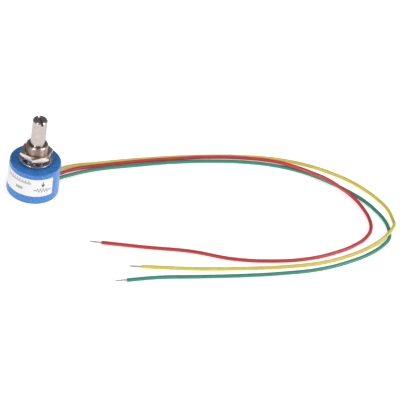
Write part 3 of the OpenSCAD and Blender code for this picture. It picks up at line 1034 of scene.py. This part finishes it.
@dataclass
class LeadSet:
    """The three flying leads."""

    pitch: float = 2.54 * MM
    yellow: Colour = (0.70, 0.57, 0.11)
    red: Colour = (0.53, 0.037, 0.046)
    green: Colour = (0.03, 0.25, 0.175)

    def build(self, tinned: bpy.types.Material) -> list[bpy.types.Object]:
        """Builds the leads and their bare ends.

        Args:
            tinned: Finish of the bare ends.

        Returns:
            The pieces.
        """
        strands = BareStrands()
        leads = [
            FlyingLead(name, aside, route, LeadInsulation(f"{name} insulation", colour))
            for name, aside, route, colour in (
                ("yellow", self.pitch, ROUTE_YELLOW, self.yellow),
                ("red", 0.0, ROUTE_RED, self.red),
                ("green", -self.pitch, ROUTE_GREEN, self.green),
            )
        ]
        return [piece for lead in leads for piece in lead.build(strands, tinned)]


@dataclass
class Finishes:
    """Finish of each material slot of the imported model, and of two pieces apart."""

    blue: Colour = (0.031, 0.187, 0.54)
    cover_shade: float = 0.9
    # Painted shadow on the body plastic under the washer: above this height, within this reach.
    painted_washer_shadow: tuple[float, float] = (15.5 * MM, 6.1 * MM)
    plate: Colour = (0.73, 0.63, 0.557)
    bushing_plate: Colour = (0.53, 0.437, 0.396)
    washer: Colour = (0.53, 0.545, 0.57)
    steel: Colour = (0.54, 0.475, 0.451)
    spring_shade: float = 0.9
    # Heights of a darker band on the shaft, at the bushing's mouth.
    shaft_band: tuple[float, float] = (22.3 * MM, 24.72 * MM)
    brass: Colour = (0.75, 0.58, 0.28)
    bronze: Colour = (0.7, 0.42, 0.24)
    gold: Colour = (0.85, 0.66, 0.3)
    black: Colour = (0.02, 0.02, 0.023)
    lacquer: Colour = (0.2, 0.08, 0.035)
    wire: Colour = (0.42, 0.36, 0.3)
    tin: Colour = (0.66, 0.64, 0.61)
    solder: Colour = (0.6, 0.6, 0.62)
    solder_marks: float = 0.02 * MM

    def metals(self) -> dict[str, WorkedMetal]:
        """Lists the metal finishes.

        Returns:
            The recipes, by the names of their slots.
        """
        spring = shade_of(self.steel, self.spring_shade)
        return {
            "nickel": WorkedMetal("nickel plate", self.plate, 0.2, Grain.TURNED),
            "bushing_nickel": WorkedMetal("bushing plate", self.bushing_plate, 0.32, Grain.TURNED),
            "washer_steel": WorkedMetal("washer steel", self.washer, 0.26),
            "spring_steel": WorkedMetal("spring steel", spring, 0.3),
            "stainless": WorkedMetal(
                "turned shaft", self.steel, 0.28, Grain.TURNED, band_heights=self.shaft_band
            ),
            "brass_sheet": WorkedMetal("brass sheet", self.brass, 0.3, Grain.ROLLED),
            "spring_bronze": WorkedMetal("spring bronze", self.bronze, 0.3, Grain.ROLLED),
            "contact_gold": WorkedMetal("contact metal", self.gold, 0.18),
            "tinned_wire": WorkedMetal("tinned wire", self.tin, 0.34),
            "solder": WorkedMetal("solder", self.solder, 0.22, mark_depth=self.solder_marks),
        }

    def build(self) -> dict[str, bpy.types.Material]:
        """Builds one material for each finish.

        Returns:
            The materials, by the names of their slots.
        """
        cover = shade_of(self.blue, self.cover_shade)
        recipes = {
            "body_blue": MouldedPlastic("body plastic", self.blue, 0.28, painted_shadow=self.painted_washer_shadow),
            "cover_blue": MouldedPlastic("cover plastic", cover, 0.34),
            "rotor_black": MouldedPlastic("rotor plastic", self.black, 0.42),
            "former_brown": MouldedPlastic("former lacquer", self.lacquer, 0.3, 0.15),
            "label_white": LabelFilm("label film"),
            "resistance_wire": WoundWire("resistance wire", self.wire),
            **self.metals(),
        }
        return {slot: recipe.build() for slot, recipe in recipes.items()}


@dataclass
class Softbox:
    """One studio light."""

    name: str
    place: Vector
    size: tuple[float, float]
    power: float

    def build(self, target: Vector) -> bpy.types.Object:
        """Builds the light.

        Args:
            target: Point that it faces.

        Returns:
            The light.
        """
        data = bpy.data.lights.new(self.name, "AREA")
        data.shape = "RECTANGLE"
        data.size, data.size_y = self.size
        data.energy = self.power
        lamp = bpy.data.objects.new(self.name, data)
        lamp.location = self.place
        lamp.rotation_mode = "QUATERNION"
        lamp.rotation_quaternion = (target - self.place).to_track_quat("-Z", "Y")
        bpy.context.scene.collection.objects.link(lamp)
        return lamp


@dataclass
class Studio:
    """Floor, light and camera."""

    camera_place: Vector = field(default_factory=lambda: Vector((0.0727, -0.7759, 0.6309)))
    elevation: float = math.radians(38.69)
    roll: float = math.radians(10.09)
    target: Vector = field(default_factory=lambda: Vector((0.04, 0.0, 0.01)))
    lens: float = 207.05
    sensor: float = 36.0
    floor_half: float = 2.0
    floor_dark: Colour = (0.86, 0.86, 0.86)
    floor_light: Colour = (0.88, 0.88, 0.88)
    floor_cloud_scale: float = 3
    floor_roughness: float = 0.7
    floor_glow: float = 0.52
    white: Colour = (1.0, 1.0, 1.0)
    sky: Colour = (0.161, 0.159, 0.159)
    lights: tuple[tuple[str, Triple, tuple[float, float], float], ...] = (
        ("top left softbox", (-0.44, 0.05, 1.0), (0.5, 0.4), 0.98),
        ("top right softbox", (0.48, 0.05, 1.0), (0.5, 0.4), 1.08),
        ("left strip", (-0.62, -1.0, 0.8), (0.3, 0.6), 8.0),
        ("left card", (-0.9, -0.9, 0.35), (0.6, 0.4), 1.7),
        ("right softbox", (1.3, -0.35, 0.75), (0.6, 0.6), 11.3),
        ("right card", (1.2, 0.0, 0.45), (0.6, 0.5), 1.2),
        ("back card", (0.9, 0.9, 0.8), (0.6, 0.6), 1.2),
    )

    def camera(self) -> None:
        """Sets the camera where the photograph was taken from."""
        rise = Vector((0.0, math.sin(self.elevation), math.cos(self.elevation)))
        ahead = Vector((0.0, math.cos(self.elevation), -math.sin(self.elevation)))
        level = Vector((1.0, 0.0, 0.0))
        right = level * math.cos(self.roll) + rise * math.sin(self.roll)
        up = rise * math.cos(self.roll) - level * math.sin(self.roll)
        data = bpy.data.cameras.new("camera")
        data.lens = self.lens
        data.sensor_width = self.sensor
        data.dof.use_dof = False
        camera = bpy.data.objects.new("camera", data)
        turn = Matrix((right, up, -ahead)).transposed()
        camera.matrix_world = Matrix.Translation(self.camera_place) @ turn.to_4x4()
        bpy.context.scene.collection.objects.link(camera)
        bpy.context.scene.camera = camera

    def floor(self) -> None:
        """Lays a plain pale floor under the part."""
        mesh = bmesh.new()
        bmesh.ops.create_grid(mesh, x_segments=1, y_segments=1, size=self.floor_half)
        piece = keep(mesh, "studio_floor")
        graph = Graph("floor")
        cloud = graph.noise(self.floor_cloud_scale)
        graph.set("Base Color", graph.mixed(cloud, self.floor_dark, self.floor_light))
        graph.set("Roughness", self.floor_roughness)
        graph.set("Emission Color", self.white)
        graph.set("Emission Strength", self.floor_glow)
        dress(piece, graph.material)

    def light(self) -> None:
        """Lights the part from both sides, in a dim room."""
        world = bpy.data.worlds.new("studio")
        world.use_nodes = True
        background = world.node_tree.nodes["Background"]
        background.inputs["Color"].default_value = (*self.sky, 1.0)
        bpy.context.scene.world = world
        for name, place, size, power in self.lights:
            Softbox(name, Vector(place), size, power).build(self.target)

    def build(self) -> None:
        """Builds the studio."""
        bpy.context.scene.view_settings.view_transform = "Standard"
        self.camera()
        self.floor()
        self.light()


def main() -> None:
    """Builds every piece in order and reports it."""
    logging.basicConfig(level=logging.INFO, format="%(message)s")
    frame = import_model()
    Studio().build()
    LOG.info("studio: camera, floor and lights")
    materials = Finishes().build()
    slots = {entry["node"]: entry["material_slot"] for entry in frame["record"]["subparts"]}
    for name, node in frame["nodes"].items():
        if slots[name] in materials:
            dress(node, materials[slots[name]])
            LOG.info("node %s: %s", name, slots[name])
    for piece in LeadSet().build(materials["tinned_wire"]):
        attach(piece, FIXED_BODY)
        LOG.info("piece %s", piece.name)
    for piece, slot, finish in (
        (ThreadedBushing().build(), "nickel", materials["bushing_nickel"]),
        (LockWasher().build(), "spring_steel", materials["washer_steel"]),
    ):
        dress(piece, finish)
        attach(piece, FIXED_BODY)
        LOG.info("piece %s: %d faces", piece.name, len(piece.data.polygons))


if __name__ == "__main__":
    main()
